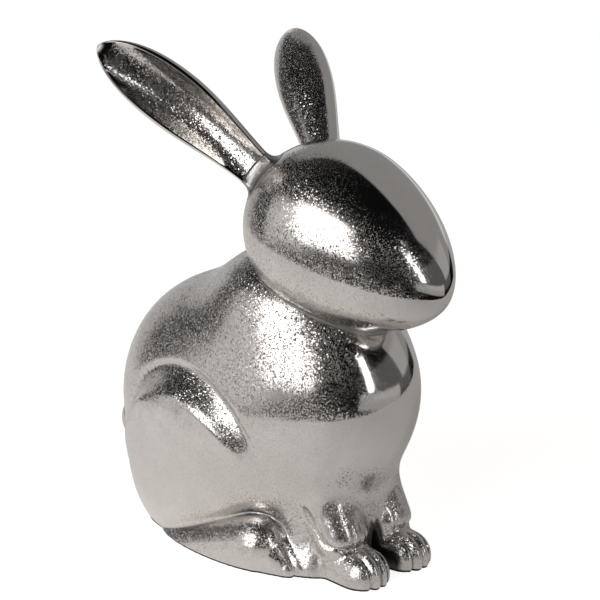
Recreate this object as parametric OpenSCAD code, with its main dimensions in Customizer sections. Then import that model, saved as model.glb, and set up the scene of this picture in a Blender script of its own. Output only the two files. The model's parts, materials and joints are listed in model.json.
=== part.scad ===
// Sitting rabbit ornament: hollow nickel-plated castings set into one another and welded.
// Millimetres, +Z up. The rabbit faces -Y, its left side is +X, and it rests on z = 0.

/* [Hindquarters] */
// Width of the hips
hip_w = 93; // [86:1:100]
// Length of the hips, front to back
hip_l = 142; // [132:1:150]
// Height of the hips
hip_h = 127; // [120:1:134]
// Hip centre behind the origin
hip_y = 24; // [19:1:29]
// Hip centre above the ground
hip_z = 55; // [51:1:59]
// Thickness of one haunch
haunch_w = 38; // [32:1:44]
// Length of a haunch
haunch_l = 86; // [78:1:94]
// Height of a haunch
haunch_h = 78; // [70:1:86]
// Haunch centre out from the middle plane
haunch_x = 23; // [20:1:26]
// Haunch centre behind the origin
haunch_y = 35; // [31:1:39]
// Haunch centre above the ground
haunch_z = 27; // [23:1:31]

/* [Thigh relief] */
// Length of the raised thigh on the flank
thigh_l = 88; // [80:1:94]
// Height of the raised thigh
thigh_h = 94; // [86:1:100]
// Thigh centre behind the origin
thigh_y = 22; // [18:1:26]
// Thigh centre above the ground
thigh_z = 35; // [31:1:39]
// How far the thigh stands out of the flank
thigh_rise = 6.4; // [4.4:0.2:8.4]
// Length of the softer calf swelling on the thigh
calf_l = 72; // [64:1:78]
// Height of the calf swelling
calf_h = 80; // [72:1:86]
// Calf centre behind the origin
calf_y = 30; // [26:1:34]
// Calf centre above the ground
calf_z = 38; // [34:1:42]
// How far the calf stands out of the thigh
calf_rise = 0.9; // [0.3:0.1:1.5]
// Depth of the groove round the thigh
groove_depth = 1.4; // [0.6:0.1:2.2]
// Where the groove starts to fade, behind the origin
groove_fade_y = 45; // [40:1:50]
// Where the groove has gone, behind the origin
groove_end_y = 75; // [70:1:80]
// Where the relief starts, out from the middle plane
relief_x = 15; // [10:1:20]
// Where the relief has its full height, out from the middle plane
relief_full_x = 34; // [30:1:38]
// Height of the thigh's lower edge over the instep
instep_z = 22; // [18:1:26]
// Where the thigh's lower edge starts to fall towards the heel, in front of the origin
instep_y = 6; // [2:1:10]
// Fall of the thigh's lower edge towards the heel, for each length of one
instep_fall = 0.42; // [0.36:0.01:0.48]
// Height over that edge at which the thigh stands out in full
instep_fade = 64; // [56:1:72]
// Depth of the crease between the thigh and the foot
crease_depth = 1; // [0.4:0.1:1.6]
// Height of that crease
crease_h = 8; // [6:0.5:10]
// Where the crease starts to fade, behind the origin
crease_fade_y = 20; // [15:1:25]
// Where the crease has gone, behind the origin
crease_end_y = 40; // [35:1:45]

/* [Tail] */
// Diameter of the round tail
tail_d = 26; // [22:1:28]
// Length of the tail, front to back
tail_l = 21; // [18:1:24]
// Height on the back at which the tail is set
tail_z = 34; // [28:1:40]
// Wall of the body left behind the tail's seat
tail_backing = 2; // [1.5:0.5:3]
// Diameter of the tail's plug in the back
tail_plug_d = 9; // [7:0.5:11]

/* [Hind feet] */
// Heel out from the middle plane
heel_x = 30; // [27:1:33]
// Heel behind the origin
heel_y = 38; // [33:1:43]
// Middle of the heel below the ground
heel_sink = 9; // [7:0.5:11]
// Thickness of the foot at the heel
heel_d = 28; // [24:1:32]
// Ball of the foot out from the middle plane
ball_x = 31; // [28:1:34]
// Ball of the foot in front of the origin
ball_y = 13; // [9:1:17]
// Ball of the foot above the ground
ball_z = 10; // [8:0.5:12]
// Thickness of the foot at the ball
ball_d = 28; // [24:1:32]
// Ends of the hind toes out from the middle plane
hind_tip_x = 28; // [25:1:31]
// Ends of the hind toes in front of the origin
hind_tip_y = 27; // [23:1:31]
// Ends of the hind toes above the ground
hind_tip_z = 2; // [1:0.5:4]
// Thickness of the foot at the ends of the hind toes
hind_tip_d = 17; // [14:1:20]
// Middle of the hind toes out from the middle plane
hind_slot_x = 29; // [26:1:32]
// Step from one groove between the hind toes to the next
hind_slot_step = 5.4; // [4.4:0.2:6.4]
// Where the grooves between the hind toes start, in front of the origin
hind_slot_y = 18; // [15:1:21]
// Where those grooves have their full depth, in front of the origin
hind_slot_full_y = 27; // [24:1:30]
// Depth of those grooves
hind_slot_depth = 1.3; // [0.6:0.1:2]
// Width of those grooves
hind_slot_w = 2; // [1.4:0.2:2.8]

/* [Forequarters] */
// Width of the chest
chest_w = 68; // [62:1:74]
// Length of the chest, front to back
chest_l = 87; // [81:1:93]
// Height of the chest
chest_h = 80; // [74:1:88]
// Chest centre in front of the origin
chest_y = 20; // [17:1:23]
// Chest centre above the ground
chest_z = 80; // [76:1:84]
// Width of the neck
neck_w = 68; // [62:1:74]
// Length of the neck, front to back
neck_l = 72; // [66:1:78]
// Height of the neck
neck_h = 54; // [50:1:58]
// Neck centre in front of the origin
neck_y = 6; // [3:1:9]
// Neck centre above the ground
neck_z = 110; // [107:1:113]
// Width of the belly between the legs
belly_w = 57; // [51:1:63]
// Length of the belly
belly_l = 52; // [46:1:58]
// Height of the belly
belly_h = 92; // [80:1:104]
// Belly centre in front of the origin
belly_y = 26; // [23:1:29]
// Belly centre above the ground
belly_z = 6; // [2:1:10]
// Width of the skirt round the foot of the belly
skirt_w = 62; // [56:1:68]
// Length of the skirt
skirt_l = 40; // [34:1:46]
// Height of the skirt, half of it below the ground
skirt_h = 36; // [30:1:42]
// Skirt centre in front of the origin
skirt_y = 30; // [27:1:33]

/* [Front legs] */
// Leg thickness at the shoulder
leg_top_d = 25; // [21:1:29]
// Leg thickness at the wrist
leg_low_d = 24; // [20:1:28]
// Shoulder out from the middle plane
shoulder_x = 15; // [13:0.5:17]
// Shoulder in front of the origin
shoulder_y = 20; // [16:1:24]
// Shoulder above the ground
shoulder_z = 60; // [54:1:66]
// Wrist out from the middle plane
wrist_x = 14; // [12:0.5:16]
// Wrist in front of the origin
wrist_y = 44; // [41:1:47]
// Wrist above the ground
wrist_z = 17; // [14:1:20]
// Depth of the fold round the back and the foot of a leg
fold_depth = 1.5; // [0.8:0.1:2.2]
// Width of that fold
fold_w = 3.6; // [2.6:0.2:4.6]
// Paw centre out from the middle plane
paw_x = 13.5; // [12:0.5:15]
// Back of the paw in front of the origin
paw_back_y = 44; // [41:1:47]
// Back of the paw above the ground
paw_back_z = 5; // [3.5:0.5:6.5]
// Ball of the paw in front of the origin
paw_y = 57; // [54:1:60]
// Ball of the paw above the ground
paw_z = 3.5; // [2:0.5:5]
// Thickness of a paw
paw_d = 22.4; // [20.4:0.2:24.4]
// Step from one groove between the front toes to the next
toe_step = 4.8; // [4.2:0.1:5.4]
// Where the grooves between the front toes start, in front of the origin
toe_slot_y = 51; // [48:1:54]
// Where those grooves have their full depth, in front of the origin
toe_slot_full_y = 60; // [57:1:63]
// Depth of those grooves
toe_slot_depth = 1.5; // [0.8:0.1:2.2]
// Width of those grooves
toe_slot_w = 1.8; // [1.2:0.2:2.6]
// Width of the cleft between the paws
cleft_w = 6.4; // [5:0.2:8]
// Length of the cleft
cleft_l = 40; // [36:1:44]
// Height of the cleft
cleft_h = 34; // [28:1:40]
// Cleft centre in front of the origin
cleft_y = 62; // [59:1:65]
// Cleft centre above the ground
cleft_z = 4; // [2:0.5:6]

/* [Head] */
// Length of the head, back to nose
head_l = 103.5; // [97:0.5:110]
// Diameter of the head at its widest
head_d = 75.5; // [72.5:0.5:78.5]
// Share of the head's length behind its widest ring
head_back = 0.4; // [0.36:0.01:0.44]
// Roundness of the nose, where 2 is an ellipse
nose_round = 1.7; // [1.5:0.05:2]
// Widest ring in front of the origin
head_y = 27.5; // [25:0.5:30]
// Widest ring above the ground
head_z = 145.5; // [143:0.5:148]
// How far the nose points down, in degrees
head_pitch = 18.5; // [14:0.5:23]
// Wall of the head casting
head_wall = 4; // [3:0.5:6]

/* [Ears] */
// Ear root out from the head's middle plane
ear_root_x = 17.5; // [15:0.5:20]
// Ear root behind the head's widest ring
ear_root_y = 22.5; // [20:0.5:25]
// Ear root above the head's widest ring
ear_root_z = 20.5; // [18:0.5:23]
// Ear tip out from the head's middle plane
ear_tip_x = 57; // [50:1:64]
// Ear tip behind the head's widest ring
ear_tip_y = 84; // [76:1:92]
// Ear tip above the head's widest ring
ear_tip_z = 73; // [64:1:82]
// How much the right tip is set up and the left tip down
ear_skew = 2; // [0:0.5:4]
// Upward bow of the ear at half its length
ear_bow = 3; // [0:0.5:6]
// Greatest width of an ear
ear_w = 26; // [22:0.5:30]
// Depth of the ear's rounded back
ear_back = 9; // [7:0.5:11]
// Height of the rim round the hollow
ear_rim = 2.4; // [1.6:0.2:3.2]
// Depth of the hollow below the rim
ear_hollow = 8.5; // [7:0.5:10]

/* [Joints] */
// Wall of the body casting
body_wall = 6; // [4:0.5:8]
// Diameter of the head's spigot in the neck
spigot_d = 20; // [16:1:22]
// Wall of the spigot tube
spigot_wall = 3.5; // [2.5:0.5:5]
// Length of the spigot that stands out inside the body
spigot_proud = 8; // [4:1:14]
// Diameter of an ear's tenon in the head
tenon_d = 8; // [6.5:0.5:9]
// Length of the tenon below the head's skin
tenon_l = 12; // [8:1:16]
// Length of the tenon inside the ear
tenon_root = 4; // [3:0.5:6]
// Gap left round every joint that is set in place
fit_gap = 0.1; // [0.05:0.01:0.2]
// Height of the weld fillet round the neck
neck_weld = 2.4; // [1.6:0.2:3.2]
// Height of the weld fillet round an ear
ear_weld = 5; // [4:0.2:6]

/* [Base] */
// Thickness of the felt under the base
felt_t = 1; // [0.8:0.1:2]
// How far the felt stays inside the casting's edge
felt_inset = 0.4; // [0.2:0.1:1.2]
// Diameter of the plate that closes the base
plate_d = 56; // [50:1:58]
// Thickness of the base plate
plate_t = 3; // [2.5:0.5:4]
// Gap round the base plate in its pocket
plate_gap = 0.2; // [0.1:0.05:0.4]
// Diameter of the opening above the base plate
opening_d = 38; // [34:1:40]
// Thickness of the flange that holds the screws
flange_t = 7; // [6:0.5:9]
// Number of base screws
screw_n = 4; // [3:1:6]
// Diameter of a screw's shank
screw_d = 3; // [2.5:0.5:3.5]
// Diameter of a screw's countersunk head
screw_head_d = 5.6; // [5:0.2:6.4]
// Length of a screw
screw_l = 8; // [7:0.5:9]
// Gap round a screw in its hole
screw_gap = 0.05; // [0.02:0.01:0.1]

/* [Blends] */
// How widely the hips and the chest run into each other
chest_blend = 50; // [44:1:56]
// How widely the neck runs into the trunk
neck_blend = 26; // [20:1:32]
// How widely a haunch runs into the trunk
haunch_blend = 10; // [6:1:14]
// How widely the belly runs into the trunk
belly_blend = 12; // [8:1:16]
// How widely the skirt runs into the trunk
skirt_blend = 10; // [6:1:14]
// How widely the top of a leg runs into the trunk
leg_blend = 14; // [10:1:18]
// How widely the foot of a leg runs into the trunk
leg_low_blend = 2; // [1:0.5:4]
// Height below which a leg stands free
leg_free_z = 12; // [9:1:15]
// Height above which a leg is one with the trunk
leg_joined_z = 52; // [46:1:58]
// How widely a leg runs into its paw
paw_blend = 3; // [2:0.5:4]
// How widely a hind foot runs into the flank
foot_blend = 2.5; // [1.5:0.5:3.5]
// How widely the edges of the cleft between the paws are rounded
cleft_blend = 1.2; // [0.8:0.1:1.6]

/* [Hidden] */
plated = [0.78, 0.77, 0.75];
bead = [0.7, 0.69, 0.67];
felt_black = [0.06, 0.06, 0.06];

// The body is drawn by rays from an upright axis, which is also the axis of the neck and the base plate:
// level rays up to the height fan_z, and above it a fan that rises to the neck and over the head's seat
axis_y = -neck_y;
fan_z = hip_z + 1;
fan_low = 5;
fan_top = 82;
reach = hip_l;
side_cols = 48;
front_crowd = 34;
low_rows = 24;
low_crowd = 1.3;
fan_rows = 13;
seat_rows = 8;
hollow_low_rows = 5;
hollow_fan_rows = 5;
skin_tol = 0.02;
hit_tries = 60;
hit_step = 0.75;
halvings = 18;
eps = 0.01;
over = 1;

// Shares of the thigh's and the calf's ovals at which the relief is full, place and width of the groove,
// and the shares between which the crease over the foot comes in
thigh_full = 0.8;
calf_full = 0.72;
groove_at = 1.04;
groove_share = 0.045;
crease_edge = 1.05;
crease_full = 0.9;

// Grooves between the toes are numbered by steps from the foot's middle, and draw together behind
toe_cuts = [-1, 0, 1];
toe_gather = 0.7;
hind_cuts = [-0.5, 0.5];
hind_gather = 0.8;

// Fold round a front leg: how far down the leg each point lies, and its place in radii from the axis
fold_down = [0.2, 0.72, 1, 1, 1, 1];
fold_out = [[0.43, 0, 0], [1, 0.1, 0], [0.92, -0.08, 0], [0.5, -0.75, -0.17], [-0.08, -1.08, -0.13],
    [-0.75, -0.92, -0.08]];
leg_shoulder = [shoulder_x, -shoulder_y, shoulder_z];
leg_wrist = [wrist_x, -wrist_y, wrist_z];

tail_steps = 24;

head_c = [0, -head_y, head_z];
head_rear = head_l * head_back;
head_front = head_l - head_rear;
head_r = head_d / 2;
head_steps = 40;
nose_dir = [0, -cos(head_pitch), -sin(head_pitch)];

// Flat facets of the seat dip towards the head by this much, so the seat is cut deeper
seat_sag = pow(neck_l / 2 / seat_rows, 2) / (4 * head_r);
seat_gap = fit_gap + seat_sag;
weld_gap = 2 * fit_gap;

// Ear shape in shares of its length and width, and the ways that the hollows of the ears face, worked out on
// the left side: the left ear is turned further back
ear_cols = 32;
ear_rows = 24;
ear_crowd = 1.5;
ear_reach = 0.4;
ear_weld_steps = 3;
hollow_mid = 90;
ear_widest = 0.56;
ear_root_share = 0.6;
ear_tip_taper = 2.3;
ear_tip_round = 0.625;
ear_root_depth = 0.85;
ear_back_fade = 6;
ear_back_round = 0.7;
ear_back_full = 0.8;
rim_share = 0.15;
rim_at_root = 1.5;
rim_at_tip = 0.8;
rim_fade = 8;
dish_round = 1.5;
dish_flat = 2.4;
left_face = [0.77, 0.08, -0.64];
right_face = [0.79, -0.6, 0.11];

ledge_z = felt_t + plate_t;
floor_z = ledge_z + flange_t;
screw_ring_r = (opening_d + plate_d) / 4;

function clamp01(t) = max(0, min(1, t));
function smooth(a, b, x) = let(t = clamp01((x - a) / (b - a))) t * t * (3 - 2 * t);
function mix(a, b, t) = a + (b - a) * t;
function unit(v) = v / norm(v);
function blend(a, b, k) = let(h = max(k - abs(a - b), 0) / k) min(a, b) - h * h * h * k / 6;
function nudge(k) = [for (m = [0 : 2]) m == k ? eps : 0];
function share(p, s) = [2 * p.x / s.x, 2 * p.y / s.y, 2 * p.z / s.z];

// Distance to an ellipsoid of full size s about c, good near its surface
function blob(p, c, s) =
    let(q = share(p - c, s), k = norm(q)) k * (k - 1) / max(norm(share(q, s)), eps / reach);

// Distance to a round limb from a to b with end radii ra and rb
function limb(p, a, b, ra, rb) =
    let(ab = b - a, t = clamp01((p - a) * ab / (ab * ab))) norm(p - a - t * ab) - mix(ra, rb, t);

// Smooth trunk: hips, chest, neck and haunches in one, belly and skirt below, and the cleft cut in front
function trunk(p) =
    let(hip = blob(p, [0, hip_y, hip_z], [hip_w, hip_l, hip_h]))
    let(chest = blob(p, [0, -chest_y, chest_z], [chest_w, chest_l, chest_h]))
    let(neck = blob(p, [0, -neck_y, neck_z], [neck_w, neck_l, neck_h]))
    let(haunch = blob(p, [haunch_x, haunch_y, haunch_z], [haunch_w, haunch_l, haunch_h]))
    blend(blend(blend(hip, chest, chest_blend), neck, neck_blend), haunch, haunch_blend);
function belly(p) = blob(p, [0, -belly_y, belly_z], [belly_w, belly_l, belly_h]);
function skirt(p) = blob(p, [0, -skirt_y, 0], [skirt_w, skirt_l, skirt_h]);
function cleft(p) = blob(p, [0, -cleft_y, cleft_z], [cleft_w, cleft_l, cleft_h]);

// Raised thigh and calf on the flank, which run out over the foot, less the thigh's groove and the crease
function oval(p, y, z, l, h) = norm([2 * (p.y - y) / l, 2 * (p.z - z) / h]);
function thigh(p) =
    let(s = oval(p, thigh_y, thigh_z, thigh_l, thigh_h))
    let(c = oval(p, calf_y, calf_z, calf_l, calf_h))
    let(raised = thigh_rise * smooth(1, thigh_full, s) + calf_rise * smooth(1, calf_full, c))
    let(cut = exp(-pow((s - groove_at) / groove_share, 2)) * smooth(groove_end_y, groove_fade_y, p.y))
    let(high = p.z - instep_z + instep_fall * max(p.y + instep_y, 0))
    let(along_foot = smooth(crease_edge, crease_full, s) * smooth(crease_end_y, crease_fade_y, p.y))
    let(crease = crease_depth * along_foot * exp(-pow(2 * high / crease_h, 2)))
    smooth(relief_x, relief_full_x, p.x)
        * (smooth(0, instep_fade, high) * (raised - groove_depth * cut) - crease);

// Grooves between toes: lines that spread over a foot, from nothing behind the knuckles to 1 in front
function slots(p, cuts, x, step, gather, start, full, w) =
    let(f = smooth(-start, -full, p.y), apart = step * mix(gather, 1, f))
    f * exp(-pow(2 * min([for (k = cuts) abs(p.x - x - k * apart)]) / w, 2));

// Hind foot: a wedge from heel to ball that bends down to the toes
function foot(p) =
    let(heel = [heel_x, heel_y, -heel_sink], ball = [ball_x, -ball_y, ball_z])
    let(tip = [hind_tip_x, -hind_tip_y, hind_tip_z])
    let(cut = slots(p, hind_cuts, hind_slot_x, hind_slot_step, hind_gather, hind_slot_y, hind_slot_full_y,
        hind_slot_w))
    min(limb(p, heel, ball, heel_d / 2, ball_d / 2), limb(p, ball, tip, ball_d / 2, hind_tip_d / 2))
        + hind_slot_depth * cut;

// Front leg: shoulder to wrist and a paw, and the fold round it
function leg(p) =
    let(shin = limb(p, leg_shoulder, leg_wrist, leg_top_d / 2, leg_low_d / 2))
    let(paw = limb(p, [paw_x, -paw_back_y, paw_back_z], [paw_x, -paw_y, paw_z], paw_d / 2, paw_d / 2))
    let(cut = slots(p, toe_cuts, paw_x, toe_step, toe_gather, toe_slot_y, toe_slot_full_y, toe_slot_w))
    blend(shin, paw, paw_blend) + toe_slot_depth * cut;
fold_line = [for (k = [0 : len(fold_down) - 1])
    mix(leg_shoulder, leg_wrist, fold_down[k]) + leg_low_d / 2 * fold_out[k]];
function fold(p) =
    let(away = min([for (k = [1 : len(fold_line) - 1]) limb(p, fold_line[k - 1], fold_line[k], 0, 0)]))
    exp(-pow(2 * away / fold_w, 2));

// Distance to the whole body's skin and the way that the skin faces, and the distance to its hollow
function skin(q) =
    let(p = [abs(q.x), q.y, q.z])
    let(flank = blend(blend(trunk(p) - thigh(p), belly(p), belly_blend), skirt(p), skirt_blend))
    let(stood = blend(flank, foot(p), foot_blend))
    let(whole = blend(stood, leg(p), mix(leg_low_blend, leg_blend, smooth(leg_free_z, leg_joined_z, p.z))))
    fold_depth * fold(p) - blend(-whole, cleft(p), cleft_blend);
function skin_out(p) = unit([for (k = [0 : 2]) let(s = nudge(k)) skin(p + s) - skin(p - s)]);
function hollow(q) =
    let(p = [abs(q.x), q.y, q.z])
    max(blend(trunk(p), belly(p), belly_blend) + body_wall, body_wall - cleft(p));

// Distance to the head's egg, turned round its axis: an ellipse behind the widest ring, fuller before it
function egg(p) =
    let(d = p - head_c, f = d * nose_dir, r = max(norm(d - f * nose_dir), eps))
    let(n = f > 0 ? nose_round : 2, a = f > 0 ? head_front : head_rear, u = abs(f) / a, v = r / head_r)
    let(k = pow(pow(u, n) + pow(v, n), 1 / n))
    (k - 1) * pow(k, n - 1) / norm([pow(max(u, eps), n - 1) / a, pow(v, n - 1) / head_r]);
function egg_out(p) = unit([for (k = [0 : 2]) let(s = nudge(k)) egg(p + s) - egg(p - s)]);

// Rays of the body: angle of a column, start and way of a ray
function col_angle(j) = let(u = 180 * j / side_cols) u - front_crowd * sin(u);
function ray_o(z) = [0, axis_y, min(z, fan_z)];
function ray_v(a, e) = [cos(e) * sin(a), -cos(e) * cos(a), sin(e)];

// Distance along a ray to the skin or the hollow, searched from outside
function skin_hit(o, v, t = reach, n = hit_tries) =
    let(d = skin(o + t * v)) n == 0 || d < skin_tol ? t : skin_hit(o, v, t - hit_step * d, n - 1);
function hollow_hit(o, v, t = reach, n = hit_tries) =
    let(d = hollow(o + t * v)) n == 0 || d < skin_tol ? t : hollow_hit(o, v, t - hit_step * d, n - 1);

// Distance along a ray to the head, kept gap away from it, or the reach where the ray misses
function head_hit(o, v, gap, t = 0, n = hit_tries) =
    let(d = egg(o + t * v) - gap)
    t > reach ? reach
    : n == 0 || d < skin_tol / 4 ? t
    : head_hit(o, v, gap, t + hit_step * d, n - 1);

// Rings of the skin and the hollow: half is worked out and the other half mirrored
function mirrored(half) =
    concat(half, [for (j = [side_cols - 1 : -1 : 1]) [-half[j].x, half[j].y, half[j].z]]);
function skin_point(z, e, a) =
    let(o = ray_o(z), v = ray_v(a, e))
    o + v * min(skin_hit(o, v), e > 0 ? head_hit(o, v, seat_gap) : reach);
function hollow_point(z, e, a) =
    let(o = ray_o(z), v = ray_v(a, e))
    o + v * min(hollow_hit(o, v), e > 0 ? head_hit(o, v, body_wall) : reach);
function skin_ring(z) = mirrored([for (j = [0 : side_cols]) skin_point(z, 0, col_angle(j))]);
function fan_ring(creases, part) = mirrored([for (j = [0 : side_cols])
    skin_point(fan_z, creases[j] * part, col_angle(j))]);
function seat_ring(creases, part) = mirrored([for (j = [0 : side_cols])
    skin_point(fan_z, mix(creases[j], fan_top, part), col_angle(j))]);
function hollow_ring(z, e) = mirrored([for (j = [0 : side_cols]) hollow_point(z, e, col_angle(j))]);
function round_ring(z, r) = mirrored([for (j = [0 : side_cols]) ray_o(z) + r * ray_v(col_angle(j), 0)]);

// Faces of rings joined one to the next, and of the last ring to the first where the loop is closed
function band_faces(rows, cols, closed, skip = 0) = [
    for (i = [0 : rows - (closed ? 1 : 2)], j = [0 : cols - 1])
        let(a = skip + i * cols, b = skip + (i + 1) % rows * cols, k = (j + 1) % cols)
        each [[a + j, b + j, b + k], [a + j, b + k, a + k]]];
function flat_list(rings) = [for (r = rings) each r];

// Ear path, frame and section; t runs from the root inside the head to the tip, side is 1 left or -1 right,
// and both ears are worked out on the left side
function ear_root() = head_c + [ear_root_x, ear_root_y, ear_root_z];
function ear_tip(side) = head_c + [ear_tip_x, ear_tip_y, ear_tip_z - side * ear_skew];
function ear_bend(side) = (ear_root() + ear_tip(side)) / 2 + [0, 0, 2 * ear_bow];
function ear_axis(side, t) =
    (1 - t) * (1 - t) * ear_root() + 2 * t * (1 - t) * ear_bend(side) + t * t * ear_tip(side);
function ear_dir(side, t) =
    unit((1 - t) * (ear_bend(side) - ear_root()) + t * (ear_tip(side) - ear_bend(side)));
function ear_front(side, t) =
    let(d = ear_dir(side, t), face = side > 0 ? left_face : right_face) unit(face - (face * d) * d);
function ear_half(t) = ear_w / 2 * (t < ear_widest
    ? mix(ear_root_share, 1, (1 - cos(180 * t / ear_widest)) / 2)
    : pow(max(1 - pow((t - ear_widest) / (1 - ear_widest), ear_tip_taper), 0), ear_tip_round));
function ear_depth(t) =
    ear_back * mix(ear_root_depth, 1, sin(180 * t)) * pow(1 - pow(t, ear_back_fade), ear_back_round);
function ear_lip(t) = ear_rim * mix(rim_at_root, rim_at_tip, t) * sqrt(1 - pow(t, rim_fade));
function ear_dish(t) = ear_hollow * pow(4 * t * (1 - t), dish_round);

// Height of the ear's section at the angle a: the rounded back below, the rim and the hollow above
function ear_level(t, a) =
    let(q = abs(cos(a)), in = 1 - rim_share)
    let(lip = q > in ? sqrt(max(1 - pow((q - in) / rim_share, 2), 0)) : 1)
    sin(a) < -eps ? ear_depth(t) * -pow(-sin(a), ear_back_full)
    : ear_lip(t) * lip - ear_dish(t) * (q < in ? 1 - pow(q / in, dish_flat) : 0);
function ear_across(side, t, a) =
    let(d = ear_dir(side, t), f = ear_front(side, t))
    ear_half(t) * cos(a) * cross(f, d) + ear_level(t, a) * f;
function ear_point(side, t, a) = ear_axis(side, t) + ear_across(side, t, a);
function ear_out(side, t, a) =
    let(half_step = 180 / ear_cols)
    let(round = ear_point(side, t, a + half_step) - ear_point(side, t, a - half_step))
    unit(cross(round, ear_dir(side, t)));

// Where on the ear's length its skin at the angle a, or its axis, comes a given height above the head
function ear_at(side, a, high, lo = 0, hi = ear_reach, n = halvings) =
    let(t = (lo + hi) / 2)
    n == 0 ? t
    : egg(ear_point(side, t, a)) < high ? ear_at(side, a, high, t, hi, n - 1)
    : ear_at(side, a, high, lo, t, n - 1);
function ear_foot(side, lo = 0, hi = ear_reach, n = halvings) =
    let(t = (lo + hi) / 2)
    n == 0 ? t
    : egg(ear_axis(side, t)) < fit_gap ? ear_foot(side, t, hi, n - 1)
    : ear_foot(side, lo, t, n - 1);

// Where the tenon goes in: mid-thickness of the ear at the tenon's upper end, taken down to the head
function ear_peg(side) =
    let(t = ear_at(side, hollow_mid, tenon_root), thick_mid = (ear_lip(t) - ear_dish(t) - ear_depth(t)) / 2)
    ear_axis(side, ear_foot(side)) + ear_front(side, 0) * thick_mid;

// Drops a point onto the head along a direction, keeping a gap
function onto_head(p, d, gap, n = 12) = n == 0 ? p : onto_head(p - d * (egg(p) - gap), d, gap, n - 1);
function ear_angles() = [for (j = [0 : ear_cols - 1]) 360 * (j + 0.5) / ear_cols];
function sided(p, side) = [side * p.x, p.y, p.z];
function sided_ring(ring, side) =
    side > 0 ? ring : [for (j = [len(ring) - 1 : -1 : 0]) sided(ring[j], side)];
function ear_low_ring(side, high) = sided_ring([for (a = ear_angles())
    ear_point(side, ear_at(side, a, high), a)], side);
function ear_ring(side, u) = sided_ring([for (a = ear_angles())
    ear_point(side, mix(ear_at(side, a, ear_weld), 1, 1 - pow(1 - u, ear_crowd)), a)], side);
function ear_sole_ring(side, part) =
    let(foot = ear_axis(side, ear_foot(side)), d = ear_dir(side, 0))
    sided_ring([for (a = ear_angles())
        onto_head(mix(foot, ear_point(side, ear_at(side, a, fit_gap), a), part), d, fit_gap)], side);

// Weld fillet round an ear: corner, foot on the head, hollowed middle, and down the ear's skin from the top
function ear_weld_skin(side, a, high) =
    let(t = ear_at(side, a, high)) ear_point(side, t, a) + fit_gap * ear_out(side, t, a);
function ear_weld_section(side, a) =
    let(corner = ear_weld_skin(side, a, weld_gap), out = ear_out(side, ear_at(side, a, weld_gap), a))
    let(skin_side = [for (k = [ear_weld_steps : -1 : 1]) ear_weld_skin(side, a, ear_weld * k / ear_weld_steps)])
    let(away = corner + ear_weld * out, base = onto_head(away, egg_out(away), fit_gap))
    concat([corner, base, (corner + base + skin_side[0]) / 3 + eps * out], skin_side);
function ear_weld_rings(side) =
    let(sections = [for (a = ear_angles()) ear_weld_section(side, a)])
    [for (k = [0 : ear_weld_steps + 2]) sided_ring([for (s = sections) s[k]], side)];

// Neck crease: the rise of the ray at which body and head lie a given way apart
function neck_room(a, e) =
    let(o = ray_o(fan_z), v = ray_v(a, e)) head_hit(o, v, seat_gap) - skin_hit(o, v);
function neck_rise(a, room, lo = fan_low, hi = fan_top, n = halvings) =
    let(e = (lo + hi) / 2)
    n == 0 ? e
    : neck_room(a, e) > room ? neck_rise(a, room, e, hi, n - 1)
    : neck_rise(a, room, lo, e, n - 1);
function weld_on_body(a, room) =
    let(o = ray_o(fan_z), v = ray_v(a, neck_rise(a, room))) o + v * (skin_hit(o, v) + fit_gap);
function weld_on_head(a, room) =
    let(o = ray_o(fan_z), v = ray_v(a, neck_rise(a, room))) o + v * head_hit(o, v, fit_gap);

// Place of the tail on the back, and the spigot's lower end under the head's lowest point on the neck's axis
tail_p = let(o = ray_o(tail_z)) o + skin_hit(o, [0, 1, 0]) * [0, 1, 0];
tail_v = skin_out(tail_p);
tail_sink = body_wall - tail_backing;
tail_c = tail_p + tail_v * (tail_l / 2 - tail_sink);
tail_plug_l = tail_l / 2 + body_wall;
seat_z = fan_z + head_hit(ray_o(fan_z), [0, 0, 1], 0);
spigot_low = seat_z - body_wall - spigot_proud;

module closed_loop(rings) {
    polyhedron(flat_list(rings), band_faces(len(rings), len(rings[0]), true), convexity = 10);
}

module capped_loft(rings, first, last) {
    cols = len(rings[0]);
    end = 1 + len(rings) * cols;
    start_fan = [for (j = [0 : cols - 1]) [0, 1 + j, 1 + (j + 1) % cols]];
    end_fan = [for (j = [0 : cols - 1]) [end, end - cols + (j + 1) % cols, end - cols + j]];
    faces = concat(start_fan, band_faces(len(rings), cols, false, 1), end_fan);
    polyhedron(concat([first], flat_list(rings), [last]), faces, convexity = 10);
}

module along(p, d) {
    translate(p) rotate([0, acos(d.z), atan2(d.y, d.x)]) children();
}

module tail_form(gap) {
    outline = [for (i = [0 : tail_steps])
        let(a = 180 * i / tail_steps) [(tail_d / 2 + gap) * sin(a), -(tail_l / 2 + gap) * cos(a)]];
    along(tail_c, tail_v) {
        rotate_extrude($fn = 64) polygon(outline);
        translate([0, 0, -tail_plug_l - gap])
            cylinder(d = tail_plug_d + 2 * gap, h = tail_plug_l + gap, $fn = 32);
    }
}

module on_ear_roots() {
    for (side = [-1, 1])
        along(sided(ear_peg(side), side), sided(ear_dir(side, 0), side)) children();
}

module on_screws() {
    translate([0, axis_y, felt_t])
        for (k = [0 : screw_n - 1])
            rotate([0, 0, 360 * (k + 0.5) / screw_n])
                translate([screw_ring_r, 0, 0]) children();
}

module screw_form(gap) {
    head = screw_head_d / 2 + gap;
    shank = screw_d / 2 + gap;
    end = screw_l + gap;
    rotate_extrude($fn = 32)
        polygon([[0, 0], [head, 0], [shank, head - shank], [shank, end], [0, end]]);
}

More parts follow.
